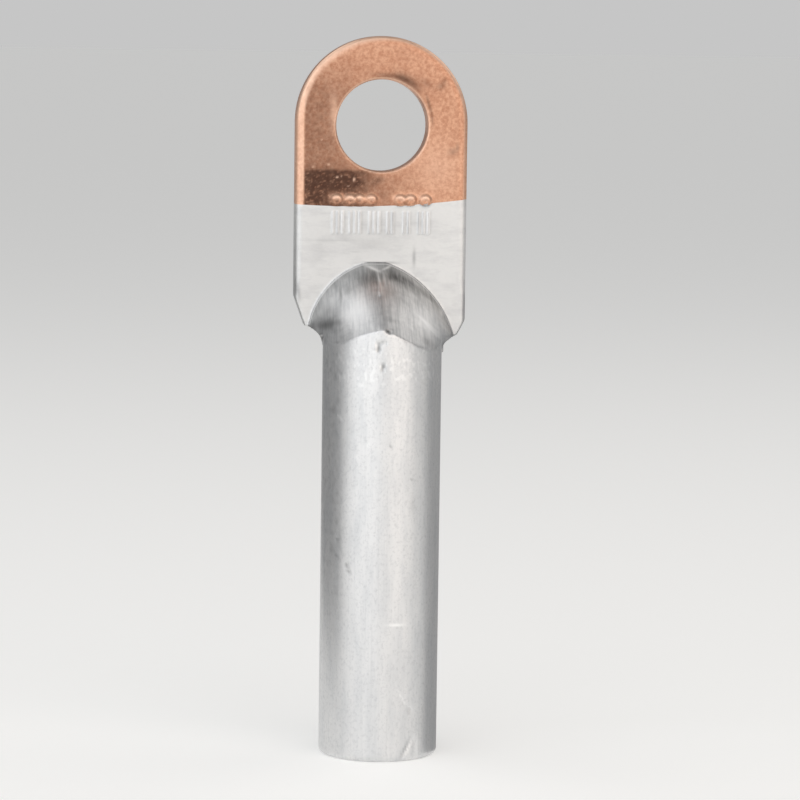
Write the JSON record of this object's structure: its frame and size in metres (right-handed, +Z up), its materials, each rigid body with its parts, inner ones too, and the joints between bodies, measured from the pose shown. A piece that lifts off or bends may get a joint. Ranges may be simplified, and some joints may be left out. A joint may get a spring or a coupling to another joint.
{
  "type": "bimetallic cable lug",
  "caption": "Cable lug: round aluminium barrel with a blind crimp bore, forged into a flat palm whose friction-welded copper end has a stud hole.",
  "frame": {"origin": "centre of the barrel's mouth face, which the lug stands on", "axes": "+Z up along the barrel to the palm's tip, +X across the palm, +Y out of the palm's flat contact face, so the forged nose faces -Y"},
  "size_m": [0.016, 0.0111, 0.0665],
  "materials": {
    "aluminium": "drawn and forged, satin",
    "copper": "tumbled, satin"
  },
  "bodies": {
    "root": {"aluminium_barrel": "aluminium", "copper_palm": "copper"}
  },
  "joints": []
}
